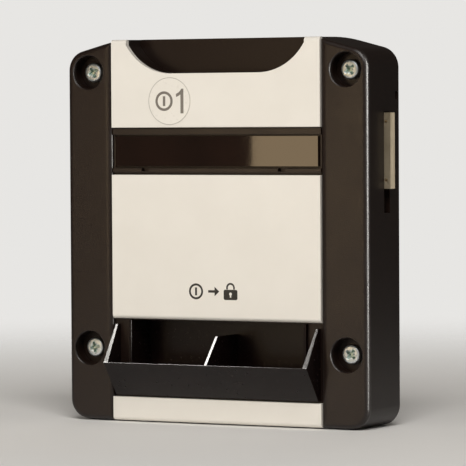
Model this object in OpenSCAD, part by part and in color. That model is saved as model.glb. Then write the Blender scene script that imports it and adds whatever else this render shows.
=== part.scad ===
// Coin-return locker lock, inside unit. X is to the right as seen from the front, the front
// faces -Y, Z is up. The rear (door) face is Y = 0 and the origin is the centre of the four
// fixing screws on that face.

/* [Case] */
// Width of the case
case_w = 135; // [133:0.5:138]
// Depth of the case, from the door face to the front
case_d = 28; // [28:0.5:30]
// Height of the case above the centre of the fixing screws
top_z = 69; // [69:0.5:71]
// Height of the bottom edge (below the centre of the fixing screws)
bottom_z = -85; // [-87:0.5:-85]
// Radius of the corners, seen from the front
corner_r = 8; // [7:0.5:9]
// Slope of the shoulders beside the flat top, in degrees
shoulder_slope = 14.7; // [14:0.1:16]
// Half the length of the flat top
flat_half = 44.7; // [44:0.1:46]
// Radius of the blend between the flat top and the shoulders
shoulder_r = 50; // [30:1:60]
// Radius of the rounded front edge
edge_r = 2; // [1:0.25:2]
// How far the sides spread towards the door
draft = 0.5; // [0.2:0.1:0.6]
// Thickness of the moulded walls
wall = 2.4; // [2:0.1:2.6]

/* [Fixing screws] */
// Distance between the screws, left to right
screw_dx = 116; // [115:0.5:117]
// Distance between the screws, bottom to top
screw_dz = 112; // [111:0.5:113]
// Diameter of the screws
screw_d = 4; // [3.8:0.1:4]
// Diameter of the screw heads
screw_head_d = 8; // [7.5:0.1:8]
// Height of the screw heads
screw_head_h = 2.6; // [2.2:0.1:2.8]
// How far the top of a head lies below the case's front
screw_sink = 3.9; // [3.5:0.1:4.5]
// Diameter of the counterbores
counterbore_d = 13.6; // [12:0.1:14]
// How far the screws stand out behind the door face
screw_reach = 9; // [6:0.5:14]

/* [Front panels] */
// Half the width of the light panels
panel_half = 47; // [46.5:0.1:47]
// Thickness of the panels
panel_t = 2.6; // [2.4:0.1:2.6]
// How far the panels stand out of the case's front
panel_proud = 0.2; // [0:0.1:0.4]
// Lower edge of the top panel
top_panel_z = 33.5; // [33.4:0.1:33.6]
// Upper edge of the middle panel
mid_panel_z1 = 14.5; // [14.3:0.1:14.6]
// Lower edge of the middle panel
mid_panel_z0 = -43.7; // [-44:0.1:-43.5]
// Upper edge of the bottom panel
low_panel_z = -75.4; // [-75.6:0.1:-75.2]
// Radius of the panels' rolled edges
roll_r = 1.6; // [1:0.1:1.7]

/* [Coin scoop] */
// Height of the scoop's floor
scoop_z = 54.9; // [54.5:0.1:56]
// Half the length of the scoop's flat floor
scoop_flat = 19.8; // [19:0.1:21]
// Radius of the scoop's corners
scoop_r = 24; // [23:0.1:25]
// Half the width of the scoop at its top
scoop_half = 40.5; // [40:0.1:41]
// Depth of the scoop behind the case's front
scoop_d = 12.5; // [12:0.1:13]

/* [Window] */
// Lower and upper edge of the window pane
pane_z = [18, 30];
// Thickness of the pane
pane_t = 1.5; // [1.2:0.1:1.6]
// Lower and upper edge of the upper trim bar
upper_bar_z = [30.6, 33.2];
// Lower and upper edge of the lower trim bar
lower_bar_z = [15.4, 17.2];
// Half the width of the opening behind the pane
peep_half = 13; // [12:0.5:14]

/* [Return tray] */
// Half the width of the tray's front
tray_half = 45.7; // [44:0.1:46]
// How far the tray's lip stands out of the case's front
lip_out = 10.5; // [9:0.5:11]
// Height of the lip
lip_z = -61; // [-62:0.5:-60]
// Height at which the tray's sides meet the case
cheek_top_z = -46; // [-50:0.5:-46]
// Height of the tray's lower edge
tray_z = -74.6; // [-74.8:0.1:-74.4]
// Half the width of the opening behind the tray's front
mouth_half = 40.1; // [39:0.1:40.2]
// Depth of the tray behind the case's front
tray_d = 18; // [16:0.5:19]
// Thickness of the tray's walls
tray_t = 1.1; // [1:0.1:1.3]

/* [Bolt] */
// Lower and upper edge of the bolt's head
bolt_z = [9, 39];
// Thickness of the bolt
bolt_t = 4; // [3.8:0.1:4]
// Distance of the bolt's front face from the case's front
bolt_depth = 15; // [15:0.1:15.2]
// How far the bolt stands out of the case at rest
bolt_out = 2.9; // [2.5:0.1:3.5]
// Lower and upper edge of the slot in the case's side
slot_z = [-0.6, 39.4];
// Width of that slot
slot_w = 5; // [4.8:0.1:5.2]
// Radius of the crank that drives the bolt
crank_r = 8.5; // [8.4:0.1:8.5]

/* [Cylinder] */
// Place of the cylinder's axis, left to right
axis_x = 14; // [14:0.1:14.2]
// Height of the cylinder's axis
axis_z = 16; // [15.8:0.1:16]
// Diameter of the cylinder's barrel
barrel_d = 18; // [17.5:0.1:18]
// Diameter of the plug that the key turns
plug_d = 13; // [12.8:0.1:13]
// How far the barrel stands out behind the door face
barrel_out = 19; // [16:0.5:22]

/* [Coin way] */
// Width of the coin way, for a coin 23.4 mm across
coin_w = 24.2; // [24:0.1:24.6]
// Thickness of the coin way
coin_t = 4.2; // [4:0.1:4.2]
// Place of the upper coin way's centre
coin_x = -1; // [-1.2:0.1:-0.8]
// How far the lower coin way leads to the left
coin_shift = 20; // [18:0.5:21]

/* [Hidden] */
$fn = 48;
slip = 0.15;                             // gap between pieces that slide
fit = 0.1;                               // gap between pieces that are fixed
sliver = 0.01;                           // thickness of a slice inside a hull
far = 200;                               // longer than anything here
hull_steps = 8;                          // slices in the rounded front edge

front = -case_d;
side_x = case_w / 2;
corner_x = side_x - corner_r;
corner_low_z = bottom_z + corner_r;
corner_top_z = top_z - (corner_x - flat_half) * tan(shoulder_slope)
  - corner_r / cos(shoulder_slope);
blend_x = flat_half - shoulder_r * tan(shoulder_slope / 2);
plate_t = 1.5;                           // base plate
recess_half = panel_half + 0.2;          // channel in the case's front for the panels
recess_y = front - panel_proud + panel_t; // floor of that channel
recess_wall = 2;                         // thickness of the channel's floor
inner_y = recess_y + recess_wall;        // inside face of the channel's floor
ease_w = 2.7;                            // rounded inner edge of the side columns
ease_d = 1.3;
panel_y = front - panel_proud;           // front face of the panels
trim_y = front + 0.6;                    // front face of the window's trim
trim_notch_x = [-32.1, 29.6];            // middles of the notches in the lower trim bar
trim_notch_half = 1.6;
trim_notch_z = lower_bar_z[0] + 0.5;     // floor of those notches
pane_half = panel_half - 1.4;            // half the width of the window pane
label_xz = [-20.2, 44.1];                // round price label on the top panel
label_r = 9.65;
label_t = 0.12;

scoop_back_y = front + scoop_d;
divider_x = [0, 1];                      // wall between the tray's compartments
divider_top_z = -50;
cheek_t = [0.9, 2.0];                    // tray's side walls, at the case and at the lip
screw_xz = [for (sx = [-1, 1], sz = [-1, 1]) [sx * screw_dx / 2, sz * screw_dz / 2]];
bore_floor_y = front + screw_sink + screw_head_h;
bore_chamfer = 0.35;                     // broken edge of the counterbores
screw_neck_r = screw_d / 2 - 0.1;        // shank between the head and the door face
screw_turn = [20, 45, 70, 95];           // how far each cross recess is turned
boss_r = 8;
post_r = 3.2;
post_xz = [[-60.5, 24], [-60.5, -24], [60.5, -24], [0, -79]];
tap_r = 1.45;                            // shank of the small screws
tap_head_r = 2.7;
tap_head_h = 1.7;

bolt_y0 = front + bolt_depth;            // front face of the bolt
bolt_y1 = bolt_y0 + bolt_t;
bolt_x1 = side_x + bolt_out;
bolt_travel = 2 * crank_r * sin(45);
tail_z0 = 20.2;                          // lower edge of the bolt's tail
tail_x0 = -15.6;
head_x0 = 32;
pin_r = 2.5;                             // crank pin
yoke_gap = 0.36;                         // play of the crank pin in the yoke, each side
cam_y0 = -8.7;                           // front face of the cam
cam_t = 1.8;
cam_y1 = cam_y0 + cam_t;
cam_r = 11.5;
square_half = 2.5;                       // square end of the plug that carries the cam
square_y = cam_y0;
plug_r = plug_d / 2;
barrel_r = barrel_d / 2;
barrel_neck_r = barrel_r - 0.2;          // part of the barrel inside the case
barrel_y0 = -6.2;
barrel_bore_r = plug_r + 0.05;
flange_r = 16;
flange_t = 2;
flange_y0 = -plate_t - flange_t;
flange_screw_r = 12.5;                   // distance of the flange's screws from the axis
plug_head_r = 8;
plug_head_t = 1.8;
plug_end_y = barrel_out + slip + plug_head_t;
keyway_w = 2.6;
keyway_h = 7.4;
blade_w = 2.2;
blade_h = 7;
wafer_y = [for (i = [0:4]) 2 + 3 * i];
wafer_t = 1;
wafer_w = 5;
wafer_h = 11.4;
blade_end_y = -2;
key_bow_r = 8.5;                         // rounded ends of the key's bow
key_bow_y = [plug_end_y + 13.5, plug_end_y + 20.5];
key_hole_r = 3.5;

coin_y0 = inner_y + 1.1;                 // front face of the coin way
coin_y1 = coin_y0 + coin_t;
chute_t = 1;                             // walls of the coin way
chute_back_y = coin_y1 + chute_t;
chute_z0 = -8;                           // where the upper and lower coin ways meet
return_z0 = -43.2;                       // lower end of the lower coin way
lever_x = [coin_x - 4, coin_x + 4];      // width of the gate and the feeler
lever_pin_r = 1;
lever_pin_y = chute_back_y + 2.05;
gate_pin_z = 21;
feeler_pin_z = 44;
lever_boss_r = 1.85;
ear_t = 1.4;
ear_x = [coin_x - 10.5, coin_x + 5.2];   // left faces of the two ears that hold a pin
wedge_h = 1.94;                          // rise of the bolt's wedge, which swings the gate
wedge_z = [26, 32];
gate_pad_z = 29;
gate_nose_z = 10.4;
feeler_nose_z = 33.6;
nose_reach = [1.2, 1];                   // how far an arm goes below its nose: gate, feeler
gate_window_z = [7.5, 14];               // openings in the coin way for the two noses
feeler_window_z = [31, 36];
spring_r = 1.55;
spring_wire_r = 0.25;
cam_head_r = 3.3;
cam_head_h = 1.6;
pry_z = [44.4, 47.4];                    // shallow pry notch in the right side
pry_y = [-3.4, -1.2];
pry_d = 0.4;
gate_pad_r = 0.9;

// ---- shared shapes ----

function arc(x, z, r, a0, a1, n = 16) =
  [for (i = [0:n]) let (a = a0 + (a1 - a0) * i / n) [x + r * cos(a), z + r * sin(a)]];

// The case's outline seen from the front, pulled in by d
function outline(d) = concat(
  arc(-blend_x, top_z - shoulder_r, shoulder_r - d, 90 + shoulder_slope, 90, 6),
  arc(blend_x, top_z - shoulder_r, shoulder_r - d, 90, 90 - shoulder_slope, 6),
  arc(corner_x, corner_top_z, corner_r - d, 90 - shoulder_slope, 0),
  arc(corner_x, corner_low_z, corner_r - d, 0, -90),
  arc(-corner_x, corner_low_z, corner_r - d, -90, -180),
  arc(-corner_x, corner_top_z, corner_r - d, 180, 90 + shoulder_slope));

// The scoop's outline seen from the front, widened by d
function scoop(d) =
  let (a = acos((scoop_half + d - scoop_flat) / (scoop_r + d)), top = scoop_z + scoop_r)
  concat([[-scoop_half - d, top]], arc(-scoop_flat, top, scoop_r + d, 180 + a, 270),
    arc(scoop_flat, top, scoop_r + d, -90, -a), [[scoop_half + d, top]]);

// The two ends of a length h to each side of c
function about(c, h) = [c - h, c + h];

// A flat shape drawn as seen from the front, from y0 back to y1
module slab(y0, y1) translate([0, y1, 0]) rotate([90, 0, 0]) linear_extrude(y1 - y0) children();

// A shape drawn in (Y, Z), from x0 to x1
module rail(x0, x1) translate([x0, 0, 0]) rotate([90, 0, 90]) linear_extrude(x1 - x0) children();

module rod(x, z, r, y0, y1) translate([x, y1, z]) rotate([90, 0, 0]) cylinder(r = r, h = y1 - y0);

module rod_x(y, z, r, x0, x1) translate([x0, y, z]) rotate([0, 90, 0]) cylinder(r = r, h = x1 - x0);

module span(x, y, z) translate([x[0], y[0], z[0]]) cube([x[1] - x[0], y[1] - y[0], z[1] - z[0]]);

// A pan-head screw along Y with a cross recess; its head ends at y and faces the front
module pan_screw(x, z, y, r, head_r, head_h, length, turn = 0) {
  difference() {
    union() {
      rod(x, z, r, y + head_h, y + head_h + length);
      rod(x, z, head_r, y + head_h * 0.3, y + head_h);
      translate([x, y + head_h * 0.3, z]) rotate([90, 0, 0])
        cylinder(r1 = head_r, r2 = head_r * 0.84, h = head_h * 0.3);
    }
    for (a = [0, 90])
      translate([x, y, z]) rotate([0, a + turn, 0])
        span([-head_r * 0.52, head_r * 0.52], [-1, head_h * 0.62], [-head_r * 0.13, head_r * 0.13]);
  }
}

// A coil of round wire about an X axis, from x0 to x1
module coil(y, z, r, wire_r, x0, x1, turns) {
  sides = 8;
  rings = turns * 16;
  ring_pts = [for (i = [0:rings], k = [0:sides - 1])
    let (a = 360 * turns * i / rings, b = 360 * k / sides, q = r + wire_r * cos(b))
    [x0 + wire_r + (x1 - x0 - 2 * wire_r) * i / rings + wire_r * sin(b), y + q * cos(a), z + q * sin(a)]];
  walls = [for (i = [0:rings - 1], k = [0:sides - 1])
    let (n = (k + 1) % sides)
    [i * sides + k, (i + 1) * sides + k, (i + 1) * sides + n, i * sides + n]];
  polyhedron(ring_pts, concat(walls,
    [[for (k = [0:sides - 1]) k]],
    [[for (k = [sides - 1:-1:0]) rings * sides + k]]), convexity = 6);
}

// ---- case ----

module case_slice(y, d) translate([0, y, 0]) rotate([90, 0, 0]) linear_extrude(sliver)
  polygon(outline(d));

module case_body() hull() {
  case_slice(0, -draft);
  for (i = [0:hull_steps]) let (a = 90 * i / hull_steps)
    case_slice(front + sliver + edge_r * (1 - sin(a)), edge_r * (1 - cos(a)));
}

// The channel across the case's front, with its rounded edges
module panel_channel() linear_extrude(far, center = true)
  polygon(concat([[-recess_half, recess_y]],
    [for (i = [0:5]) let (a = 90 * i / 5)
      [-recess_half - ease_w * (1 - cos(a)), front + ease_d * (1 - sin(a)) - sliver]],
    [[-recess_half - ease_w, front - 1], [recess_half + ease_w, front - 1]],
    [for (i = [5:-1:0]) let (a = 90 * i / 5)
      [recess_half + ease_w * (1 - cos(a)), front + ease_d * (1 - sin(a)) - sliver]],
    [[recess_half, recess_y]]));

module case_shell() color([0.16, 0.14, 0.12]) difference() {
  union() {
    difference() {
      case_body();
      slab(front + wall, 1) polygon(outline(wall));
    }
    // floor of the panel channel
    slab(front + edge_r, inner_y) intersection() {
      polygon(outline(1));
      square([2 * (recess_half + wall), far], center = true);
    }
    // walls round the scoop
    slab(front + edge_r, scoop_back_y + wall) intersection() {
      polygon(outline(1));
      polygon(scoop(wall));
    }
    // corner bosses
    for (p = screw_xz)
      slab(front + edge_r, -plate_t) intersection() {
        polygon(outline(1));
        translate(p) circle(boss_r);
      }
    // posts for the plate's screws
    for (p = post_xz) rod(p[0], p[1], post_r, front + edge_r, -plate_t);
    // posts for the chute's screws
    for (p = chute_screw_xz) rod(p[0], p[1], post_r - 0.4, inner_y - 0.5, chute_tab_y);
  }
  panel_channel();
  slab(front - 1, scoop_back_y) polygon(scoop(0));
  // coin slot in the scoop's floor
  span(about(coin_x, coin_w / 2), [coin_y0, coin_y1], [scoop_z - 2 * wall, scoop_z + 1]);
  // opening behind the window
  span([-peep_half, peep_half], [front, inner_y + 1], pane_z + [0.8, -0.8]);
  // mouth of the return tray
  span([-mouth_half, mouth_half], [front - 1, inner_y + 1], [tray_z, mid_panel_z0 - 0.4]);
  // fixing screws
  for (p = screw_xz) {
    rod(p[0], p[1], counterbore_d / 2, front - 1, bore_floor_y);
    translate([p[0], front + bore_chamfer, p[1]]) rotate([90, 0, 0])
      cylinder(r1 = counterbore_d / 2, r2 = counterbore_d / 2 + 2 * bore_chamfer, h = 2 * bore_chamfer);
    rod(p[0], p[1], screw_d / 2 + 0.2, bore_floor_y - 1, 1);
  }
  for (p = post_xz) rod(p[0], p[1], tap_r + 0.05, -plate_t - 8, 1);
  for (p = chute_screw_xz) rod(p[0], p[1], tap_r + 0.05, chute_tab_y - 4, chute_tab_y + 1);
  // slot for the bolt
  span([side_x - 2 * wall, far], [bolt_y0 - 0.3, bolt_y0 - 0.3 + slot_w], slot_z);
  // shallow pry notch near the rear edge
  span([side_x - pry_d, far], pry_y, pry_z);
}

// ---- base plate ----

// Cone of a countersunk head that lies flush in the door face, widened by d
module sunk_head(p, d) translate([p[0], 0, p[1]]) rotate([90, 0, 0])
  cylinder(r1 = tap_head_r + d, r2 = tap_r + d, h = tap_head_r - tap_r);

module base_plate() color([0.72, 0.72, 0.70]) difference() {
  slab(-plate_t, 0) polygon(outline(wall + 0.3));
  for (p = post_xz) sunk_head(p, fit);
  for (p = screw_xz) rod(p[0], p[1], screw_d / 2 + 0.2, -far, far);
  for (p = post_xz) rod(p[0], p[1], tap_r + 0.2, -far, far);
  for (p = guide_screw_xz) rod(p[0], p[1], tap_r + 0.05, -far, far);
  for (s = [-1, 1]) rod(axis_x, axis_z + s * flange_screw_r, tap_r + 0.05, -far, far);
  rod(axis_x, axis_z, barrel_r + fit, -far, far);
}

module fixing_screws() color([0.78, 0.78, 0.74])
  for (i = [0:3]) let (p = screw_xz[i]) {
    pan_screw(p[0], p[1], bore_floor_y - screw_head_h, screw_neck_r, screw_head_d / 2,
      screw_head_h, -bore_floor_y, turn = screw_turn[i]);
    rod(p[0], p[1], screw_d / 2, -sliver, screw_reach);
  }

module case_screws() color([0.6, 0.6, 0.58])
  for (p = post_xz) difference() {
    union() {
      rod(p[0], p[1], tap_r, -plate_t - 7, -0.5);
      sunk_head(p, 0);
    }
    for (a = [20, 110]) translate([p[0], 0, p[1]]) rotate([0, a, 0])
      span([-1.5, 1.5], [-0.9, 1], [-0.35, 0.35]);
  }

// ---- panels ----

// Section of a panel in (Y, Z) from z0 to z1, its front edges rolled by r0 below and r1 above
module panel_section(z0, z1, r0, r1) {
  y1 = panel_y + panel_t - fit;
  polygon(concat(
    [[y1, z0], [y1, z1]],
    r1 > 0 ? [for (i = [0:8]) let (a = 90 + 90 * i / 8)
      [panel_y + r1 + r1 * cos(a), z1 - r1 + r1 * sin(a)]] : [[panel_y, z1]],
    r0 > 0 ? [for (i = [0:8]) let (a = 180 + 90 * i / 8)
      [panel_y + r0 + r0 * cos(a), z0 + r0 + r0 * sin(a)]] : [[panel_y, z0]]));
}

module top_panel() color([0.93, 0.91, 0.86]) difference() {
  rail(-panel_half, panel_half) panel_section(top_panel_z, top_z, 0.3, roll_r);
  slab(front - 1, inner_y) polygon(scoop(-0.3));
}

module middle_panel() color([0.93, 0.91, 0.86])
  rail(-panel_half, panel_half) panel_section(mid_panel_z0, mid_panel_z1, roll_r, 0.3);

module bottom_panel() color([0.93, 0.91, 0.86])
  rail(-panel_half, panel_half) panel_section(bottom_z, low_panel_z, roll_r, 0.3);

module price_label() color([0.80, 0.78, 0.73])
  rod(label_xz[0], label_xz[1], label_r, panel_y - label_t, panel_y);

// ---- window ----

module window_trim() color([0.22, 0.19, 0.16]) difference() {
  union() {
    span([-panel_half, panel_half], [trim_y, recess_y - fit], upper_bar_z);
    span([-panel_half, panel_half], [trim_y, recess_y - fit], lower_bar_z);
    for (s = [-1, 1]) span([s * panel_half - 0.4, s * panel_half + 0.4] - [s * 0.4, s * 0.4],
      [recess_y - 0.8, recess_y - fit], [lower_bar_z[0], upper_bar_z[1]]);
  }
  for (x = trim_notch_x)
    span(about(x, trim_notch_half), [front, recess_y], [trim_notch_z, lower_bar_z[1] + 1]);
}

module window_pane() color([0.1, 0.08, 0.07, 0.85])
  span([-pane_half, pane_half], [recess_y - pane_t, recess_y - fit], pane_z);

// ---- return tray ----

module return_tray() color([0.1, 0.08, 0.08]) {
  back_y = front + tray_d;
  lip_y = front - lip_out;
  rest_y = recess_y - slip;              // rear of the bucket, at the floor of the panel channel
  edge_y = front + 0.5;                  // front edge of the walls beside the mouth
  edge_r = 0.8;                          // rounding of that edge
  mouth_x = mouth_half - slip;
  wall_x = mouth_x - tray_t;
  lip_top_z = lip_z + 0.1;
  cheek_x = tray_half - cheek_t[0];
  lip_cheek_x = tray_half - cheek_t[1];
  floor_z = tray_z + 2.6;                // inside of the bucket beside the mouth
  difference() {
    union() {
      // bucket in front of the case
      rail(-tray_half, tray_half) polygon([[rest_y, tray_z], [front, tray_z], [lip_y, lip_z],
        [lip_y + 0.35, lip_z + 0.35], [front, cheek_top_z], [rest_y, cheek_top_z]]);
      // box behind the mouth
      span([-mouth_x, mouth_x], [front, back_y], [tray_z + slip, mid_panel_z0 - 0.6]);
    }
    // the two compartments
    for (x = [[-mouth_x + tray_t, divider_x[0]], [divider_x[1], mouth_x - tray_t]])
      rail(x[0], x[1]) polygon([[back_y - tray_t, tray_z + slip + tray_t], [front, tray_z + slip + tray_t],
        [lip_y + tray_t, lip_top_z], [lip_y - 1, lip_top_z], [lip_y - 1, far], [back_y - tray_t, far]]);
    // space above the divider
    rail(divider_x[0] - sliver, divider_x[1] + sliver) polygon([[lip_y - 1, lip_top_z],
      [lip_y + 0.6, lip_top_z], [front, divider_top_z], [back_y - tray_t, divider_top_z],
      [back_y - tray_t, far], [lip_y - 1, far]]);
    // widening in front of the case: the side walls are thicker at the lip
    for (s = [-1, 1]) intersection() {
      rail(-far, far) polygon([[edge_y + far, floor_z], [edge_y, floor_z], [lip_y + tray_t, lip_top_z],
        [lip_y - 1, lip_top_z], [lip_y - 1, far], [edge_y + far, far]]);
      linear_extrude(2 * far, center = true) polygon(concat([[s * (wall_x - 0.1), lip_y - 1],
        [s * (wall_x - 0.1), edge_y + edge_r]],
        [for (a = [0:15:90]) [s * (wall_x + edge_r * (1 - cos(a))), edge_y + edge_r * (1 - sin(a))]],
        [[s * mouth_x, edge_y], [s * mouth_x, rest_y + 1],
        [s * cheek_x, rest_y + 1], [s * cheek_x, front], [s * lip_cheek_x, lip_y - 1]]));
    }
  }
}

// ---- cylinder ----

module cylinder_barrel() color([0.75, 0.74, 0.7]) difference() {
  union() {
    rod(axis_x, axis_z, barrel_r, 0, barrel_out);
    rod(axis_x, axis_z, barrel_neck_r, barrel_y0, sliver);
    rod(axis_x, axis_z, flange_r, flange_y0, -plate_t);
  }
  rod(axis_x, axis_z, barrel_bore_r, -far, far);
  for (s = [-1, 1]) rod(axis_x, axis_z + s * flange_screw_r, tap_r + 0.2, -far, far);
}

module barrel_screws() color([0.6, 0.6, 0.58])
  for (s = [-1, 1])
    pan_screw(axis_x, axis_z + s * flange_screw_r, flange_y0 - tap_head_h, tap_r, tap_head_r,
      tap_head_h, flange_t + plate_t - 0.1, turn = 30 * s);

module lock_plug() color([0.80, 0.68, 0.36]) difference() {
  union() {
    rod(axis_x, axis_z, plug_r, cam_y1, plug_end_y);
    rod(axis_x, axis_z, plug_head_r, barrel_out + slip, plug_end_y);
    span(about(axis_x, square_half), [square_y, cam_y1 + 1],
      about(axis_z, square_half));
  }
  span(about(axis_x, keyway_w / 2), [blade_end_y - 1, far],
    about(axis_z, keyway_h / 2));
  for (y = wafer_y)
    span(about(axis_x, wafer_w / 2 + fit), [y - fit, y + wafer_t + fit], [0, 40]);
  rod(axis_x, axis_z, tap_r + 0.05, -far, -4);
}

module wafers() color([0.85, 0.75, 0.45])
  for (y = wafer_y) difference() {
    span(about(axis_x, wafer_w / 2), [y, y + wafer_t], about(axis_z, wafer_h / 2));
    span(about(axis_x, keyway_w / 2), [y - 1, y + 2], about(axis_z, keyway_h / 2));
  }

module drive_cam() color([0.70, 0.70, 0.68]) {
  difference() {
    rod(axis_x, axis_z, cam_r, cam_y0, cam_y1);
    span(about(axis_x, square_half + fit), [cam_y0 - 1, cam_y1 + 1],
      about(axis_z, square_half + fit));
  }
  rod(axis_x - crank_r * sin(45), axis_z + crank_r * cos(45), pin_r, bolt_y0 + 0.4, cam_y0 + 0.5);
}

module cam_screw() color([0.6, 0.6, 0.58])
  pan_screw(axis_x, axis_z, cam_y0 - cam_head_h, tap_r, cam_head_r, cam_head_h, 4, turn = 15);

module key() color([0.82, 0.80, 0.74]) difference() {
  union() {
    span(about(axis_x, blade_w / 2), [blade_end_y, key_bow_y[0]], about(axis_z, blade_h / 2));
    span(about(axis_x, blade_w / 2), [plug_end_y + 0.3, plug_end_y + 5], about(axis_z, 6.5));
    span(about(axis_x, blade_w / 2), key_bow_y, about(axis_z, key_bow_r));
    for (y = key_bow_y) rod_x(y, axis_z, key_bow_r, axis_x - blade_w / 2, axis_x + blade_w / 2);
  }
  rod_x(key_bow_y[1] + 1.5, axis_z, key_hole_r, axis_x - blade_w, axis_x + blade_w);
  // bitting: V cuts of different depth on the blade's lower edge
  for (i = [0:4]) let (d = [1.2, 0.6, 1.6, 0.9, 1.3][i])
    rail(axis_x - blade_w, axis_x + blade_w)
      polygon([[wafer_y[i] + 0.5 - d - 0.3, axis_z - blade_h / 2 - 0.1],
        [wafer_y[i] + 0.5, axis_z - blade_h / 2 + d],
        [wafer_y[i] + 0.5 + d + 0.3, axis_z - blade_h / 2 - 0.1]]);
}

// ---- bolt ----

module bolt() color([0.78, 0.75, 0.70]) {
  pin_x = axis_x - crank_r * sin(45);
  difference() {
    union() {
      span([head_x0, bolt_x1], [bolt_y0, bolt_y1], bolt_z);
      span([tail_x0, head_x0 + 1], [bolt_y0, bolt_y1], [tail_z0, bolt_z[1]]);
      // wedge that swings the coin gate
      slab_top(wedge_z) polygon([[coin_x - bolt_travel, bolt_y0 + 0.01], [coin_x, bolt_y0 - wedge_h],
        [coin_x + 3, bolt_y0 - wedge_h], [coin_x + 5, bolt_y0 + 0.01]]);
    }
    // yoke for the crank pin, open below
    span(about(pin_x, pin_r + yoke_gap), [bolt_y0 - 1, bolt_y1 + 1],
      [tail_z0 - 1, axis_z + crank_r + pin_r + 0.4]);
    // dimples in the head's front face
    for (z = [bolt_z[0] + 3.4, bolt_z[1] - 3.6]) rod(side_x + 0.95, z, 0.65, bolt_y0 - 1, bolt_y0 + 1.4);
  }
}

// A shape drawn in (X, Y), between two heights
module slab_top(z) translate([0, 0, z[0]]) linear_extrude(z[1] - z[0]) children();

guide_x = [30.5, 62.5];
guide_wall = 1.8;
guide_foot_x = [30.5, 49];
guide_foot_y = -plate_t - 2;
guide_screw_xz = [[34.5, -1.4], [45, -1.4], [34.5, 49], [45, 49]];

module bolt_guide() color([0.66, 0.66, 0.64]) difference() {
  union() {
    span(guide_x, [bolt_y0 - slip - guide_wall, bolt_y1 + slip + guide_wall],
      bolt_z + [-slip - guide_wall, slip + guide_wall]);
    // legs and feet, below and above
    span(guide_foot_x, [bolt_y1, -plate_t], [bolt_z[0] - slip - guide_wall, bolt_z[0] - slip]);
    span(guide_foot_x, [bolt_y1, -plate_t], [bolt_z[1] + slip, bolt_z[1] + slip + guide_wall]);
    span(guide_foot_x, [guide_foot_y, -plate_t], [-5, bolt_z[0] - slip]);
    span(guide_foot_x, [guide_foot_y, -plate_t], [bolt_z[1] + slip, 52.6]);
  }
  span([0, far], [bolt_y0 - slip, bolt_y1 + slip], bolt_z + [-slip, slip]);
  for (p = guide_screw_xz) rod(p[0], p[1], tap_r + 0.2, -far, far);
}

module guide_screws() color([0.6, 0.6, 0.58])
  for (p = guide_screw_xz)
    pan_screw(p[0], p[1], guide_foot_y - tap_head_h, tap_r, tap_head_r, tap_head_h, 2 + plate_t - 0.1,
      turn = p[0]);

// ---- coin way ----

chute_x = [coin_x - coin_w / 2, coin_x + coin_w / 2];
chute_tab_y = chute_back_y - 1.5;
chute_screw_xz = [[chute_x[0] - 5, 40], [chute_x[1] + 5, 46], [chute_x[0] - 15.5, -20]];

module ears(z) for (x = ear_x) difference() {
  span([x, x + ear_t], [chute_back_y - 0.5, lever_pin_y + 1.8], about(z, 2.4));
  rod_x(lever_pin_y, z, lever_pin_r + 0.03, x - 1, x + ear_t + 1);
}

// Tab that takes a screw at p, from the coin way's middle
module chute_tab(p) span([min(p[0] - 2.8, coin_x), max(p[0] + 2.8, coin_x)],
  [chute_tab_y, chute_back_y], about(p[1], 3));

module coin_chute() color([0.35, 0.35, 0.36]) difference() {
  union() {
    span(chute_x + [-chute_t, chute_t], [coin_y0 - chute_t, chute_back_y],
      [chute_z0, scoop_z - wall - fit]);
    for (i = [0, 1]) chute_tab(chute_screw_xz[i]);
    ears(gate_pin_z);
    ears(feeler_pin_z);
  }
  span(chute_x, [coin_y0, coin_y1], [-far, far]);
  // view of the held coin
  span([-peep_half + 1, peep_half - 3], [coin_y0 - 2, coin_y0 + 1], pane_z + [1, -1]);
  // windows for the gate's and the feeler's noses
  span(lever_x + [-0.8, 0.8], [coin_y1 - 1, chute_back_y + 1], gate_window_z);
  span(lever_x + [-0.8, 0.8], [coin_y1 - 1, chute_back_y + 1], feeler_window_z);
  for (i = [0, 1]) rod(chute_screw_xz[i][0], chute_screw_xz[i][1], tap_r + 0.2, -far, far);
}

module chute_screws() color([0.6, 0.6, 0.58])
  for (p = chute_screw_xz) mirror([0, 1, 0])
    pan_screw(p[0], p[1], -chute_back_y - tap_head_h, tap_r, tap_head_r, tap_head_h, 5);

// Outline of the slanted lower coin way, widened by d and longer by e at each end
module lower_way(d, e) polygon([[chute_x[0] - d, chute_z0 - fit],
  [chute_x[0] - d, chute_z0 - fit + e], [chute_x[1] + d, chute_z0 - fit + e],
  [chute_x[1] + d, chute_z0 - fit], [chute_x[1] - coin_shift + d, return_z0],
  [chute_x[1] - coin_shift + d, return_z0 - e], [chute_x[0] - coin_shift - d, return_z0 - e],
  [chute_x[0] - coin_shift - d, return_z0]]);

module return_chute() color([0.35, 0.35, 0.36]) difference() {
  union() {
    slab(coin_y0 - chute_t, chute_back_y) lower_way(chute_t, 0);
    intersection() {
      chute_tab(chute_screw_xz[2]);
      span([-far, coin_x - coin_w / 2], [-far, far], [-far, far]);
    }
  }
  slab(coin_y0, coin_y1) lower_way(0, 1);
  rod(chute_screw_xz[2][0], chute_screw_xz[2][1], tap_r + 0.2, -far, far);
}

// A lever on a pin: boss, arm down to z_end, nose at nose_z standing forward to nose_y
module lever(pin_z, arm_y, arm_t, z_end, nose_z, nose_y) {
  difference() {
    union() {
      rod_x(lever_pin_y, pin_z, lever_boss_r, lever_x[0], lever_x[1]);
      span(lever_x, [arm_y, arm_y + arm_t], [z_end, pin_z]);
      span(lever_x + [1, -1], [nose_y, arm_y + 0.1], about(nose_z, 0.8));
    }
    rod_x(lever_pin_y, pin_z, lever_pin_r + 0.05, -far, far);
  }
}

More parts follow.
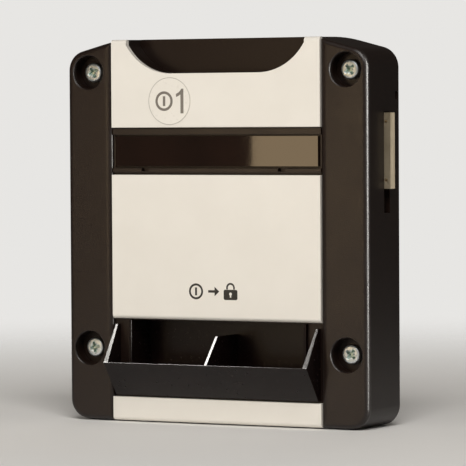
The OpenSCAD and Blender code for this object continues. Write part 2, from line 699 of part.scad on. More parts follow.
module coin_gate() color([0.85, 0.78, 0.55]) {
  pad_y = bolt_y0 - wedge_h - slip - gate_pad_r;
  lever(gate_pin_z, lever_pin_y - 0.1, 1.4, gate_nose_z - nose_reach[0], gate_nose_z, coin_y1 + slip);
  // upper arm with the pad that the wedge pushes
  difference() {
    span(about(coin_x, 1.5), [pad_y - gate_pad_r, pad_y + 0.3], [gate_pin_z, gate_pad_z + 0.4]);
    rod_x(lever_pin_y, gate_pin_z, lever_pin_r + 0.05, -far, far);
  }
  translate([coin_x, pad_y, gate_pad_z]) sphere(gate_pad_r);
}

module coin_feeler() color([0.85, 0.78, 0.55])
  lever(feeler_pin_z, chute_back_y + slip, 1.2, feeler_nose_z - nose_reach[1], feeler_nose_z,
    coin_y0 + 1.2);

module lever_pin(z) rod_x(lever_pin_y, z, lever_pin_r, ear_x[0] - 0.8, ear_x[1] + ear_t + 0.8);

module gate_pin() color([0.8, 0.8, 0.8]) lever_pin(gate_pin_z);

module feeler_pin() color([0.8, 0.8, 0.8]) lever_pin(feeler_pin_z);

module lever_spring(z)
  coil(lever_pin_y, z, spring_r, spring_wire_r, ear_x[0] + ear_t + 0.3, lever_x[0] - 0.3, 5);

module gate_spring() color([0.75, 0.75, 0.78]) lever_spring(gate_pin_z);

module feeler_spring() color([0.75, 0.75, 0.78]) lever_spring(feeler_pin_z);

case_shell();
base_plate();
top_panel();
middle_panel();
bottom_panel();
window_trim();
window_pane();
return_tray();
fixing_screws();
case_screws();
cylinder_barrel();
barrel_screws();
lock_plug();
wafers();
drive_cam();
cam_screw();
key();
bolt();
bolt_guide();
guide_screws();
coin_chute();
chute_screws();
return_chute();
coin_gate();
gate_pin();
gate_spring();
coin_feeler();
feeler_pin();
feeler_spring();
price_label();
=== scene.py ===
"""Looks of the coin-return locker lock: materials, detailed pieces, camera and light round the CAD frame."""
import math

import bmesh
import bpy
from mathutils import Matrix, Vector


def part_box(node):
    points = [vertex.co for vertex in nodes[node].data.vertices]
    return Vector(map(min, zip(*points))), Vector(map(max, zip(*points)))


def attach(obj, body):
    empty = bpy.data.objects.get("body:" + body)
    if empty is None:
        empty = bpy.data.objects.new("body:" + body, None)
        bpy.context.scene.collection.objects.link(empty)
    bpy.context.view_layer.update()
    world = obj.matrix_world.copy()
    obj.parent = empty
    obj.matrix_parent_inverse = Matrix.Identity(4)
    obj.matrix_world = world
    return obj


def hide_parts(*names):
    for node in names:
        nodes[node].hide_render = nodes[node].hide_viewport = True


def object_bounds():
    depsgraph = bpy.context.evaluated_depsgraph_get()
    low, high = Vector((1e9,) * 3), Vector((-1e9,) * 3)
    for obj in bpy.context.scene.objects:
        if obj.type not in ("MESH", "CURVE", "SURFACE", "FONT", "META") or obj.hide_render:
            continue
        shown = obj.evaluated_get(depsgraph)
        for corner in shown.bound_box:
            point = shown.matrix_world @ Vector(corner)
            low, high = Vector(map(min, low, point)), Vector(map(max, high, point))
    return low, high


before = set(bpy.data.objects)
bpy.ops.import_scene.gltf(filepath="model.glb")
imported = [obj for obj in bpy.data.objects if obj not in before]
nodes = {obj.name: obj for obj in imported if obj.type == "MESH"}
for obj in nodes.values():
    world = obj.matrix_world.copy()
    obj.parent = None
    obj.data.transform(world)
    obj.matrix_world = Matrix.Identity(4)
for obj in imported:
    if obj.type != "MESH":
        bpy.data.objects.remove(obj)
cad_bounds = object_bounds()

MM = 0.001
FRONT_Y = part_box("case_shell")[0].y
PANEL_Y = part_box("middle_panel")[0].y
HEAD_TOP = 2.6 * MM                  # height of a fixing screw's head
HEAD_RADIUS = 4 * MM
EDGE_ANGLE = math.radians(40)        # edges sharper than this are rounded
SMOOTH_ANGLE = math.radians(32)      # edges flatter than this are shaded smooth
PRINT_THICKNESS = 0.015 * MM
PICTOGRAMS_AT = (-0.7 * MM, -32 * MM)                     # X and Z of the marks' middle
GRAIN_END_Y = (FRONT_Y + 1.9 * MM, FRONT_Y + 2.6 * MM)   # the case's grain fades out between these
SCREW_ZINC = ((0.80, 0.88, 0.90), (0.90, 0.96, 0.99))


# ---- node helpers ----

def new_material(name):
    """A material with one Principled shader; returns (material, node tree, shader)."""
    mat = bpy.data.materials.new(name)
    mat.use_nodes = True
    tree = mat.node_tree
    tree.nodes.clear()
    out = tree.nodes.new("ShaderNodeOutputMaterial")
    shader = tree.nodes.new("ShaderNodeBsdfPrincipled")
    tree.links.new(shader.outputs[0], out.inputs[0])
    return mat, tree, shader


def coords(tree, scale=(1, 1, 1)):
    """Object coordinates, in metres, stretched by scale."""
    source = tree.nodes.new("ShaderNodeTexCoord")
    mapping = tree.nodes.new("ShaderNodeMapping")
    mapping.inputs["Scale"].default_value = scale
    tree.links.new(source.outputs["Object"], mapping.inputs["Vector"])
    return mapping.outputs["Vector"]


def noise(tree, vector, size, detail=3.0, rough=0.55):
    """Noise whose features are about size metres across."""
    node = tree.nodes.new("ShaderNodeTexNoise")
    node.inputs["Scale"].default_value = 1.0 / size
    node.inputs["Detail"].default_value = detail
    node.inputs["Roughness"].default_value = rough
    tree.links.new(vector, node.inputs["Vector"])
    return node.outputs["Fac"]


def spread(tree, value, low, high, from_low=0.3, from_high=0.7):
    """Maps a value from from_low..from_high to low..high."""
    node = tree.nodes.new("ShaderNodeMapRange")
    node.inputs["From Min"].default_value = from_low
    node.inputs["From Max"].default_value = from_high
    node.inputs["To Min"].default_value = low
    node.inputs["To Max"].default_value = high
    tree.links.new(value, node.inputs["Value"])
    return node.outputs["Result"]


def mix_colour(tree, factor, a, b):
    """Colour a at factor 0, b at 1; a may also be a socket."""
    node = tree.nodes.new("ShaderNodeMix")
    node.data_type = "RGBA"
    tree.links.new(factor, node.inputs["Factor"])
    if isinstance(a, bpy.types.NodeSocket):
        tree.links.new(a, node.inputs["A"])
    else:
        node.inputs["A"].default_value = (*a, 1)
    node.inputs["B"].default_value = (*b, 1)
    return node.outputs["Result"]


def product(tree, a, b):
    node = tree.nodes.new("ShaderNodeMath")
    node.operation = "MULTIPLY"
    tree.links.new(a, node.inputs[0])
    tree.links.new(b, node.inputs[1])
    return node.outputs[0]


def along_axis(tree, vector, axis):
    """One component of a vector."""
    node = tree.nodes.new("ShaderNodeSeparateXYZ")
    tree.links.new(vector, node.inputs[0])
    return node.outputs[axis]


def length_of(tree, vector):
    node = tree.nodes.new("ShaderNodeVectorMath")
    node.operation = "LENGTH"
    tree.links.new(vector, node.inputs[0])
    return node.outputs["Value"]


def bump(tree, shader, height, distance):
    """Adds a bump of that height in metres."""
    node = tree.nodes.new("ShaderNodeBump")
    node.inputs["Distance"].default_value = distance
    tree.links.new(height, node.inputs["Height"])
    tree.links.new(node.outputs["Normal"], shader.inputs["Normal"])


# ---- materials ----

def textured_plastic(name, dark, light, relief=0.05 * MM):
    """Moulded plastic with a fine grain on its front skin; smoother and duller on its sides and inside."""
    mat, tree, shader = new_material(name)
    at = coords(tree)
    fine = noise(tree, at, 0.5 * MM, 2.0)
    broad = noise(tree, at, 14 * MM, 3.0)
    skin = spread(tree, along_axis(tree, at, "Y"), 1, 0, *GRAIN_END_Y)
    tree.links.new(mix_colour(tree, spread(tree, fine, 0, 1), dark, light), shader.inputs["Base Color"])
    rough_mix = tree.nodes.new("ShaderNodeMix")
    tree.links.new(skin, rough_mix.inputs["Factor"])
    rough_mix.inputs["A"].default_value = 0.34
    tree.links.new(spread(tree, broad, 0.33, 0.40), rough_mix.inputs["B"])
    tree.links.new(rough_mix.outputs["Result"], shader.inputs["Roughness"])
    tree.links.new(spread(tree, skin, 0.25, 0.5, 0, 1), shader.inputs["Specular IOR Level"])
    bump(tree, shader, product(tree, fine, spread(tree, skin, 0.15, 1.0, 0, 1)), relief)
    shader.inputs["IOR"].default_value = 1.5
    return mat


def smooth_plastic(name, dark, light, rough, ripple=0.01 * MM, ior=1.5):
    """Smooth moulded plastic with slight unevenness and faint scuffs."""
    mat, tree, shader = new_material(name)
    at = coords(tree)
    broad = noise(tree, at, 22 * MM, 3.0)
    fine = noise(tree, at, 1.6 * MM, 3.0)
    tree.links.new(mix_colour(tree, spread(tree, broad, 0, 1), dark, light), shader.inputs["Base Color"])
    tree.links.new(spread(tree, fine, *rough), shader.inputs["Roughness"])
    bump(tree, shader, fine, ripple)
    shader.inputs["IOR"].default_value = ior
    return mat


def brushed_metal(name, dark, light, rough, along="X", parts=False):
    """Metal with fine grinding marks along one axis; with parts, returns what new_material returns."""
    mat, tree, shader = new_material(name)
    fast, slow = 1.0, 0.03
    scale = [slow if axis == along else fast for axis in "XYZ"]
    streaks = noise(tree, coords(tree, scale), 0.5 * MM, 4.0, 0.7)
    blotches = noise(tree, coords(tree), 7 * MM, 3.0)
    tree.links.new(mix_colour(tree, spread(tree, blotches, 0, 1), dark, light), shader.inputs["Base Color"])
    tree.links.new(spread(tree, streaks, *rough), shader.inputs["Roughness"])
    bump(tree, shader, streaks, 0.006 * MM)
    shader.inputs["Metallic"].default_value = 1.0
    return (mat, tree, shader) if parts else mat


def recessed_zinc():
    """Zinc plating, with painted shade, a darker greenish grey, in a cross recess that opens at HEAD_TOP on
    the object's Z axis.
    """
    mat, tree, shader = brushed_metal("screw_head_zinc", *SCREW_ZINC, rough=(0.36, 0.48), parts=True)
    height = along_axis(tree, coords(tree), "Z")
    radius = length_of(tree, coords(tree, (1, 1, 0)))
    below = spread(tree, height, 1, 0, HEAD_TOP - 0.5 * MM, HEAD_TOP - 0.1 * MM)
    inside = spread(tree, radius, 1, 0, 2.3 * MM, 2.45 * MM)
    # painted shade: below HEAD_TOP and inside the recess radius the zinc colour is mixed to a darker
    # greenish grey
    zinc_colour = shader.inputs["Base Color"].links[0].from_socket
    recess_shade = mix_colour(tree, product(tree, below, inside), zinc_colour, (0.52, 0.62, 0.56))
    tree.links.new(recess_shade, shader.inputs["Base Color"])
    return mat


def smoked_pane_material():
    """Polished, nearly black acrylic."""
    mat, tree, shader = new_material("smoked_pane")
    at = coords(tree)
    waves = noise(tree, at, 30 * MM, 2.0)
    dust = noise(tree, at, 0.8 * MM, 3.0)
    tint = mix_colour(tree, spread(tree, waves, 0, 1), (0.009, 0.0045, 0.003), (0.015, 0.007, 0.0045))
    tree.links.new(tint, shader.inputs["Base Color"])
    tree.links.new(spread(tree, dust, 0.015, 0.05), shader.inputs["Roughness"])
    bump(tree, shader, waves, 0.02 * MM)
    shader.inputs["IOR"].default_value = 1.49
    return mat


case_mat = textured_plastic("case_plastic", (0.0065, 0.003, 0.002), (0.015, 0.008, 0.0055))
trim_mat = textured_plastic("trim_plastic", (0.009, 0.005, 0.0035), (0.017, 0.010, 0.007), relief=0.02 * MM)
panel_mat = smooth_plastic("panel_plastic", (0.755, 0.72, 0.655), (0.785, 0.75, 0.685), rough=(0.34, 0.44),
                           ripple=0.004 * MM)
tray_mat = smooth_plastic("tray_plastic", (0.0045, 0.0018, 0.0016), (0.007, 0.003, 0.0026),
                          rough=(0.20, 0.28), ripple=0.001 * MM, ior=1.36)
chute_mat = smooth_plastic("chute_plastic", (0.05, 0.05, 0.055), (0.07, 0.07, 0.075), rough=(0.3, 0.45))
pane_mat = smoked_pane_material()
screw_mat = brushed_metal("screw_zinc", *SCREW_ZINC, rough=(0.36, 0.48))
head_mat = recessed_zinc()
plate_mat = brushed_metal("plate_zinc", (0.55, 0.55, 0.53), (0.66, 0.66, 0.64), along="Z",
                          rough=(0.30, 0.48))
nickel_mat = brushed_metal("cylinder_nickel", (0.62, 0.60, 0.56), (0.70, 0.68, 0.63), along="Y",
                           rough=(0.18, 0.3))
key_mat = brushed_metal("key_nickel_silver", (0.66, 0.63, 0.55), (0.76, 0.73, 0.64), along="Y",
                        rough=(0.2, 0.36))
brass_mat = brushed_metal("brass", (0.70, 0.52, 0.22), (0.80, 0.62, 0.30), along="Z", rough=(0.2, 0.34))
bolt_mat = brushed_metal("bolt_steel", (0.58, 0.49, 0.34), (0.72, 0.62, 0.46), along="Z", rough=(0.42, 0.62))
cast_mat = brushed_metal("die_cast_zinc", (0.40, 0.40, 0.39), (0.50, 0.50, 0.49), rough=(0.4, 0.55))
spring_mat = brushed_metal("spring_wire", (0.5, 0.5, 0.52), (0.6, 0.6, 0.62), rough=(0.2, 0.3))
film_mat = smooth_plastic("label_film", (0.75, 0.715, 0.65), (0.78, 0.745, 0.68), rough=(0.26, 0.32),
                          ripple=0.004 * MM)
pale_ink = smooth_plastic("pale_ink", (0.46, 0.43, 0.39), (0.50, 0.47, 0.42), rough=(0.4, 0.5))
grey_ink = smooth_plastic("grey_ink", (0.16, 0.14, 0.12), (0.19, 0.17, 0.145), rough=(0.4, 0.5))
dark_ink = smooth_plastic("dark_ink", (0.018, 0.016, 0.014), (0.026, 0.023, 0.02), rough=(0.4, 0.5))

NODE_MATERIALS = {
    "case_shell": case_mat, "base_plate": plate_mat, "top_panel": panel_mat, "middle_panel": panel_mat,
    "bottom_panel": panel_mat, "window_trim": trim_mat, "window_pane": pane_mat, "return_tray": tray_mat,
    "case_screws": screw_mat, "cylinder_barrel": nickel_mat,
    "barrel_screws": screw_mat, "lock_plug": brass_mat, "wafers": brass_mat, "drive_cam": plate_mat,
    "cam_screw": screw_mat, "key": key_mat, "bolt": bolt_mat, "bolt_guide": cast_mat,
    "guide_screws": screw_mat, "coin_chute": chute_mat, "chute_screws": screw_mat,
    "return_chute": chute_mat, "coin_gate": brass_mat, "gate_pin": screw_mat, "gate_spring": spring_mat,
    "coin_feeler": brass_mat, "feeler_pin": screw_mat, "feeler_spring": spring_mat,
}


# ---- CAD nodes: finish without changing a shape ----

def shade_by_angle_group():
    """Geometry nodes that shade faces smooth and keep edges over SMOOTH_ANGLE sharp."""
    group = bpy.data.node_groups.new("shade_by_angle", "GeometryNodeTree")
    group.interface.new_socket("Geometry", in_out="INPUT", socket_type="NodeSocketGeometry")
    group.interface.new_socket("Geometry", in_out="OUTPUT", socket_type="NodeSocketGeometry")
    start = group.nodes.new("NodeGroupInput")
    end = group.nodes.new("NodeGroupOutput")
    faces = group.nodes.new("GeometryNodeSetShadeSmooth")
    faces.domain = "FACE"
    faces.inputs["Shade Smooth"].default_value = True
    edges = group.nodes.new("GeometryNodeSetShadeSmooth")
    edges.domain = "EDGE"
    edges.inputs["Shade Smooth"].default_value = False
    angle = group.nodes.new("GeometryNodeInputMeshEdgeAngle")
    above = group.nodes.new("FunctionNodeCompare")
    above.operation = "GREATER_THAN"
    above.inputs["B"].default_value = SMOOTH_ANGLE
    group.links.new(angle.outputs["Unsigned Angle"], above.inputs["A"])
    group.links.new(above.outputs["Result"], edges.inputs["Selection"])
    group.links.new(start.outputs[0], faces.inputs["Geometry"])
    group.links.new(faces.outputs["Geometry"], edges.inputs["Geometry"])
    group.links.new(edges.outputs["Geometry"], end.inputs[0])
    return group


SHADE_GROUP = shade_by_angle_group()
BEVELS = {
    "case_shell": 0.18, "window_trim": 0.15, "return_tray": 0.2, "bolt": 0.22, "key": 0.25,
    "cylinder_barrel": 0.3, "lock_plug": 0.25, "bolt_guide": 0.3, "base_plate": 0.12,
    "top_panel": 0.12, "middle_panel": 0.12, "bottom_panel": 0.12, "window_pane": 0.12,
}


def round_edges(obj, width):
    """Bevels the edges over EDGE_ANGLE, as a modifier."""
    edge = obj.modifiers.new("edge", "BEVEL")
    edge.width = width
    edge.segments = 2
    edge.limit_method = "ANGLE"
    edge.angle_limit = EDGE_ANGLE


def finish_surface(obj, bevel_mm=0.0):
    """Welds the facets, rounds sharp edges slightly and shades by angle, all as modifiers."""
    weld = obj.modifiers.new("weld", "WELD")
    weld.merge_threshold = 0.002 * MM
    if bevel_mm:
        round_edges(obj, bevel_mm * MM)
    shade = obj.modifiers.new("shade", "NODES")
    shade.node_group = SHADE_GROUP
    if bevel_mm:
        flat = obj.modifiers.new("flat", "WEIGHTED_NORMAL")
        flat.mode = "FACE_AREA"
        flat.keep_sharp = True


for node_name, mat in NODE_MATERIALS.items():
    obj = nodes[node_name]
    obj.data.materials.clear()
    obj.data.materials.append(mat)
    finish_surface(obj, BEVELS.get(node_name, 0.0))


# ---- detailed pieces ----

def finished_mesh(obj, name):
    """The mesh that obj has after its modifiers; obj itself is removed."""
    mesh = bpy.data.meshes.new_from_object(obj.evaluated_get(bpy.context.evaluated_depsgraph_get()))
    mesh.name = name
    bpy.data.objects.remove(obj)
    return mesh


def add_object(name, data):
    """A new object in the scene; data is its mesh, curve, light or camera."""
    obj = bpy.data.objects.new(name, data)
    bpy.context.scene.collection.objects.link(obj)
    return obj


def mesh_of(bm, name, mat=None):
    """A mesh with bm's shape and one material; bm is freed."""
    mesh = bpy.data.meshes.new(name)
    bm.to_mesh(mesh)
    bm.free()
    if mat is not None:
        mesh.materials.append(mat)
    return mesh


def lathe(bm, profile, segments):
    """Turns a profile of (radius, height) about Z; a radius of 0 closes the end."""
    rings = []
    for radius, height in profile:
        if radius == 0:
            rings.append([bm.verts.new((0, 0, height))])
        else:
            rings.append([bm.verts.new((radius * math.cos(math.tau * i / segments),
                                        radius * math.sin(math.tau * i / segments), height))
                          for i in range(segments)])
    for low, high in zip(rings, rings[1:]):
        for i in range(segments):
            j = (i + 1) % segments
            corners = [low[i % len(low)], low[j % len(low)], high[j % len(high)], high[i % len(high)]]
            bm.faces.new(list(dict.fromkeys(corners)))


def wing(bm, half_length, half_width, depth, top, turn):
    """One wing of a cross recess: a bar that narrows towards its bottom."""
    corners = []
    for height, share in ((top + 0.5 * MM, 1.0), (top, 1.0), (top - depth, 0.55)):
        for sx, sy in ((-1, -1), (1, -1), (1, 1), (-1, 1)):
            x, y = sx * half_length * share, sy * half_width * (0.5 + 0.5 * share)
            corners.append(bm.verts.new((x * math.cos(turn) - y * math.sin(turn),
                                         x * math.sin(turn) + y * math.cos(turn), height)))
    for ring in (0, 4):
        for i in range(4):
            j = (i + 1) % 4
            bm.faces.new((corners[ring + i], corners[ring + 4 + i], corners[ring + 4 + j],
                          corners[ring + j]))
    bm.faces.new(corners[0:4])
    bm.faces.new(corners[11:7:-1])


def screw_head_mesh():
    """Pan head 8 mm across with a cross recess and four fine marks between its wings; faces +Z."""
    head = bmesh.new()
    lathe(head, [(r * MM, z * MM) for r, z in (
        (0, 0), (3.75, 0), (3.93, 0.12), (4.0, 0.4), (4.0, 1.0), (3.97, 1.5), (3.86, 1.95), (3.66, 2.27),
        (3.35, 2.47), (2.9, 2.56), (1.8, 2.6), (0, 2.6))], 64)
    obj = add_object("head", mesh_of(head, "head"))
    cutters = []
    for i in range(4):
        cut = bmesh.new()
        if i < 2:
            wing(cut, 2.35 * MM, 0.62 * MM, 1.7 * MM, HEAD_TOP, math.pi / 2 * i)
        else:
            wing(cut, 1.9 * MM, 0.2 * MM, 0.55 * MM, HEAD_TOP, math.pi / 2 * i + math.pi / 4)
        bmesh.ops.recalc_face_normals(cut, faces=cut.faces)
        cutter = add_object(f"wing{i}", mesh_of(cut, f"wing{i}"))
        cutters.append(cutter)
        carve = obj.modifiers.new(f"carve{i}", "BOOLEAN")
        carve.operation = "DIFFERENCE"
        carve.solver = "EXACT"
        carve.object = cutter
    round_edges(obj, 0.06 * MM)
    mesh = finished_mesh(obj, "screw_head")
    for cutter in cutters:
        bpy.data.objects.remove(cutter)
    return mesh


def add_thread(bm, top, start, end, neck_r, major_r, minor_r, pitch, sides=32, steps=8):
    """Shank down -Z from top: plain neck to start, then a V thread to end with a chamfered tip."""
    rings = [(neck_r, top, False), (neck_r, start, False)]
    count = int(round((start - end) / pitch * steps))
    rings += [(None, start - (start - end) * i / count, True) for i in range(1, count + 1)]
    made = []
    for radius, height, threaded in rings:
        ring = []
        for i in range(sides):
            angle = math.tau * i / sides
            r = radius
            if threaded:
                phase = (height / pitch + i / sides) % 1.0
                crest = min(1.0, max(0.0, 1.6 * (1 - abs(2 * phase - 1)) - 0.3))
                r = minor_r + (major_r - minor_r) * crest
                r = min(r, minor_r * 0.9 + (height - end) * 1.2)
            ring.append(bm.verts.new((r * math.cos(angle), r * math.sin(angle), height)))
        made.append(ring)
    for low, high in zip(made, made[1:]):
        for i in range(sides):
            j = (i + 1) % sides
            bm.faces.new((low[i], high[i], high[j], low[j]))
    bm.faces.new(made[0])
    bm.faces.new(list(reversed(made[-1])))


def make_fixing_screws():
    """Four pan-head screws with cut threads in place of the plain ones."""
    low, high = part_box("fixing_screws")
    whole = bmesh.new()
    whole.from_mesh(screw_head_mesh())
    under = low.y + HEAD_TOP
    add_thread(whole, top=0.3 * MM, start=under + 0.5 * MM, end=under - high.y, neck_r=1.9 * MM,
               major_r=2.0 * MM, minor_r=1.66 * MM, pitch=0.7 * MM)
    bmesh.ops.recalc_face_normals(whole, faces=whole.faces)
    mesh = mesh_of(whole, "fixing_screw", head_mat)
    places = [(x, z) for x in (low.x + HEAD_RADIUS, high.x - HEAD_RADIUS)
              for z in (low.z + HEAD_RADIUS, high.z - HEAD_RADIUS)]
    for i, ((x, z), turn) in enumerate(zip(places, (12, 28, 52, 38))):
        screw = add_object(f"fixing_screw_{i + 1}", mesh.copy())
        screw.matrix_world = (Matrix.Translation((x, under, z)) @ Matrix.Rotation(math.radians(90), 4, "X")
                              @ Matrix.Rotation(math.radians(turn), 4, "Z"))
        finish_surface(screw)
        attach(screw, "housing")
        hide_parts("fixing_screws")


# ---- label and prints: flat outlines in mm, X to the right and Z up ----

def ring_points(radius, x=0.0, z=0.0, count=72, start=0.0, sweep=360.0):
    closed = sweep == 360.0
    return [(x + radius * math.cos(math.radians(start + sweep * i / (count if closed else count - 1))),
             z + radius * math.sin(math.radians(start + sweep * i / (count if closed else count - 1))))
            for i in range(count)]


def bar(x0, z0, x1, z1):
    return [(x0, z0), (x1, z0), (x1, z1), (x0, z1)]


def coin_icon(x, z, radius, line):
    """A coin with a slot."""
    return [ring_points(radius, x, z), ring_points(radius - line, x, z),
            bar(x - 0.14 * radius, z - 0.5 * radius, x + 0.14 * radius, z + 0.5 * radius)]


def print_on(name, outlines, x, z, face_y, mat, thickness=PRINT_THICKNESS):
    """A printed mark as a thin solid on a surface at face_y; a ring inside another is a hole."""
    curve = bpy.data.curves.new(name, "CURVE")
    curve.dimensions = "2D"
    curve.fill_mode = "BOTH"
    curve.extrude = 0.5
    for points in outlines:
        spline = curve.splines.new("POLY")
        spline.points.add(len(points) - 1)
        spline.use_cyclic_u = True
        for point, (px, pz) in zip(spline.points, points):
            point.co = (px, pz, 0, 1)
    mesh = finished_mesh(add_object(name + "_outline", curve), name)
    bm = bmesh.new()
    bm.from_mesh(mesh)
    bmesh.ops.remove_doubles(bm, verts=bm.verts, dist=1e-4)
    for vert in bm.verts:
        vert.co = (x + vert.co.x * MM, face_y - thickness * (vert.co.z + 0.5), z + vert.co.y * MM)
    bmesh.ops.recalc_face_normals(bm, faces=bm.faces)
    bm.to_mesh(mesh)
    bm.free()
    mesh.materials.clear()
    mesh.materials.append(mat)
    piece = add_object(name, mesh)
    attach(piece, "housing")


def make_label():
    """Round sticker with a thin printed edge, a coin and the numeral 1."""
    low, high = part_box("price_label")
    x, z = (low.x + high.x) / 2, (low.z + high.z) / 2
    radius = (high.x - low.x) / 2
    thick = high.y - low.y
    sticker = bmesh.new()
    lathe(sticker, [(0, 0), (radius, 0), (radius, 0.06 * MM), (radius - 0.06 * MM, thick),
                    (radius * 0.5, thick), (0, thick)], 96)
    bmesh.ops.recalc_face_normals(sticker, faces=sticker.faces)
    piece = add_object("price_sticker", mesh_of(sticker, "price_sticker", film_mat))
    piece.matrix_world = Matrix.Translation((x, high.y, z)) @ Matrix.Rotation(math.radians(90), 4, "X")
    finish_surface(piece)
    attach(piece, "housing")
    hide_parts("price_label")
    edge = radius / MM - 0.1
    print_on("label_ring", [ring_points(edge, count=120), ring_points(edge - 0.3, count=120)], x, z, low.y,
             pale_ink)
    numeral = [(1.35, -4.5), (2.6, -4.5), (2.6, 4.5), (1.7, 4.5), (1.25, 3.75), (0.5, 3.1), (-0.5, 2.6),
               (-0.5, 1.45), (0.45, 1.8), (1.35, 2.45)]
    print_on("label_numeral", [[(1.1 * px + 3.6, 1.1 * pz) for px, pz in numeral]], x, z, low.y,
             grey_ink)
    print_on("label_coin", coin_icon(-2.4, 0, 3.95, 1.05), x, z, low.y, grey_ink)


def make_pictograms():
    """A coin, an arrow and a padlock, printed low on the middle panel."""
    x, z = PICTOGRAMS_AT
    arrow = [(-2.4, -0.5), (0.5, -0.5), (0.5, -1.9), (2.6, 0), (0.5, 1.9), (0.5, 0.5), (-2.4, 0.5)]
    body = (ring_points(0.7, 10.1, -2.6, 8, -90, 90) + ring_points(0.7, 10.1, 0.1, 8, 0, 90)
            + ring_points(0.7, 5.3, 0.1, 8, 90, 90) + ring_points(0.7, 5.3, -2.6, 8, 180, 90))
    keyhole = ring_points(0.62, 7.7, -0.9, 20, -60, 300) + [(7.4, -2.3), (8.0, -2.3)]
    shackle = ([(5.75, 0.9), (5.75, 1.6)] + ring_points(1.95, 7.7, 1.6, 20, 180, -180)
               + [(9.65, 0.9), (8.9, 0.9)] + ring_points(1.2, 7.7, 1.6, 16, 0, 180) + [(6.5, 0.9)])
    print_on("print_coin", coin_icon(-7.9, -0.1, 3.2, 0.85), x, z, PANEL_Y, dark_ink)
    print_on("print_arrow", [arrow], x, z, PANEL_Y, dark_ink)
    print_on("print_padlock", [body, keyhole], x, z, PANEL_Y, dark_ink)
    print_on("print_shackle", [shackle], x, z, PANEL_Y, dark_ink,
             thickness=0.8 * PRINT_THICKNESS)


make_fixing_screws()
make_label()
make_pictograms()


# ---- stage, camera, light ----

def fade_floor():
    """A pale floor that fades into the backdrop far from the object."""
    bpy.ops.mesh.primitive_circle_add(vertices=96, radius=3.2, fill_type="TRIFAN",
                                      location=(0, 0, cad_bounds[0].z - 0.02 * MM))
    floor = bpy.context.object
    floor.name = "floor"
    mat = bpy.data.materials.new("pale_floor")
    mat.use_nodes = True
    tree = mat.node_tree
    tree.nodes.clear()
    out = tree.nodes.new("ShaderNodeOutputMaterial")
    paint = tree.nodes.new("ShaderNodeBsdfDiffuse")
    paint.inputs["Color"].default_value = (0.82, 0.81, 0.79, 1)
    clear = tree.nodes.new("ShaderNodeBsdfTransparent")
    blend = tree.nodes.new("ShaderNodeMixShader")
    fade = tree.nodes.new("ShaderNodeMapRange")
    fade.interpolation_type = "SMOOTHSTEP"
    fade.inputs["From Min"].default_value = 0.10
    fade.inputs["From Max"].default_value = 0.75
    tree.links.new(length_of(tree, coords(tree)), fade.inputs["Value"])
    tree.links.new(fade.outputs["Result"], blend.inputs["Fac"])
    tree.links.new(paint.outputs[0], blend.inputs[1])
    tree.links.new(clear.outputs[0], blend.inputs[2])
    tree.links.new(blend.outputs[0], out.inputs[0])
    floor.data.materials.append(mat)


def aim(obj, at):
    """Points an object's -Z axis at a place."""
    obj.rotation_euler = (Vector(at) - obj.location).to_track_quat("-Z", "Y").to_euler()


def soft_light(name, place, at, size, power, tint=(1, 0.97, 0.92), diffuse=True, glossy=True, only_on=()):
    """A rectangular light that the camera doesn't see; only_on limits it to some CAD nodes."""
    data = bpy.data.lights.new(name, "AREA")
    data.shape = "RECTANGLE"
    data.size, data.size_y = size
    data.energy = power
    data.color = tint
    light = add_object(name, data)
    light.location = place
    aim(light, at)
    light.visible_camera = False
    light.visible_diffuse = diffuse
    light.visible_glossy = glossy
    if only_on:
        group = bpy.data.collections.new(name + "_pieces")
        for node_name in only_on:
            group.objects.link(nodes[node_name])
        light.light_linking.receiver_collection = group


def studio_world():
    """Pale backdrop to the eye; for light and reflections it is brighter in front than behind."""
    world = bpy.data.worlds.new("studio")
    world.use_nodes = True
    bpy.context.scene.world = world
    tree = world.node_tree
    tree.nodes.clear()
    out = tree.nodes.new("ShaderNodeOutputWorld")
    seen = tree.nodes.new("ShaderNodeBackground")
    seen.inputs["Color"].default_value = (0.80, 0.79, 0.77, 1)
    lit = tree.nodes.new("ShaderNodeBackground")
    source = tree.nodes.new("ShaderNodeTexCoord")
    share = spread(tree, along_axis(tree, source.outputs["Generated"], "Y"), 0, 1, -0.5, 0.5)
    shade = mix_colour(tree, share, (0.075, 0.066, 0.055), (0.045, 0.041, 0.037))
    tree.links.new(shade, lit.inputs["Color"])
    path = tree.nodes.new("ShaderNodeLightPath")
    pick = tree.nodes.new("ShaderNodeMixShader")
    tree.links.new(path.outputs["Is Camera Ray"], pick.inputs["Fac"])
    tree.links.new(lit.outputs[0], pick.inputs[1])
    tree.links.new(seen.outputs[0], pick.inputs[2])
    tree.links.new(pick.outputs[0], out.inputs["Surface"])


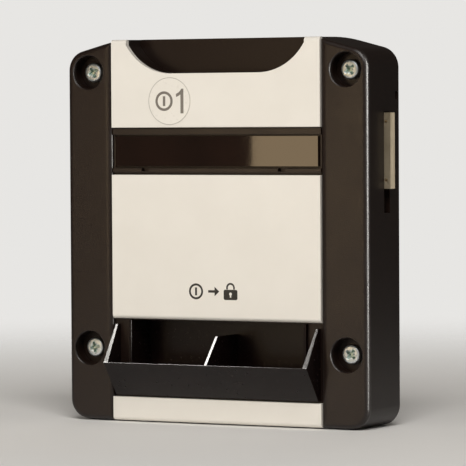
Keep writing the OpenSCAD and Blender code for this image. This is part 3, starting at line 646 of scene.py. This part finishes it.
CAMERA_TARGET = Vector((8.16, 0, -8.55)) * MM
CAMERA_TARGET.y = FRONT_Y
CAMERA_YAW = math.radians(27.70)
CAMERA_RISE = math.radians(1.94)
CAMERA_ROLL = math.radians(-0.33)
CAMERA_DISTANCE = 1.364
CAMERA_LENS = 264.8


def make_camera():
    data = bpy.data.cameras.new("camera")
    data.lens = CAMERA_LENS
    data.sensor_width = 36
    data.clip_start, data.clip_end = 0.05, 50
    camera = add_object("camera", data)
    level = Vector((math.sin(CAMERA_YAW), -math.cos(CAMERA_YAW), 0))
    back = math.cos(CAMERA_RISE) * level + Vector((0, 0, math.sin(CAMERA_RISE)))
    right = Vector((math.cos(CAMERA_YAW), math.sin(CAMERA_YAW), 0))
    up = back.cross(right)
    x_axis = math.cos(CAMERA_ROLL) * right + math.sin(CAMERA_ROLL) * up
    y_axis = -math.sin(CAMERA_ROLL) * right + math.cos(CAMERA_ROLL) * up
    turn = Matrix((x_axis, y_axis, back)).transposed().to_4x4()
    camera.matrix_world = Matrix.Translation(CAMERA_TARGET + back * CAMERA_DISTANCE) @ turn
    bpy.context.scene.camera = camera


fade_floor()
studio_world()
make_camera()
soft_light("key", (0.77, -1.36, 1.54), (0, 0, 0), (1.1, 1.1), 33, tint=(1, 0.975, 0.945))
soft_light("front_fill", (-0.5, -1.7, 0.1), (0, 0, 0), (1.5, 1.5), 17, glossy=False)
soft_light("rear_fill", (-0.5, 1.5, 0.2), (0, 0, 0), (0.8, 0.8), 8, glossy=False)
# mirrored by the right part of the window pane
soft_light("window_card", (-0.2225, -0.628, 0.02), (-0.2225, 0, 0.02), (0.145, 0.15), 0.315,
           tint=(1, 0.74, 0.44), diffuse=False)
# mirrored by the tray's slanted edges, the case's right front rounding and the bolt's end
soft_light("tray_card", (-0.185, -0.116, 0.242), (-0.022, -0.038, -0.055), (0.09, 0.09), 2.2,
           diffuse=False, only_on=["return_tray"])
soft_light("side_strip", (1.10, -0.12, 0.05), (0.06, 0, 0), (0.24, 1.0), 32,
           diffuse=False, only_on=["case_shell", "return_tray"])
soft_light("bolt_card", (0.535, 0.875, 0.02), (0.07, -0.01, 0.024), (0.6, 0.6), 1.1,
           diffuse=False, only_on=["bolt"])
bpy.context.scene.view_settings.view_transform = "Standard"
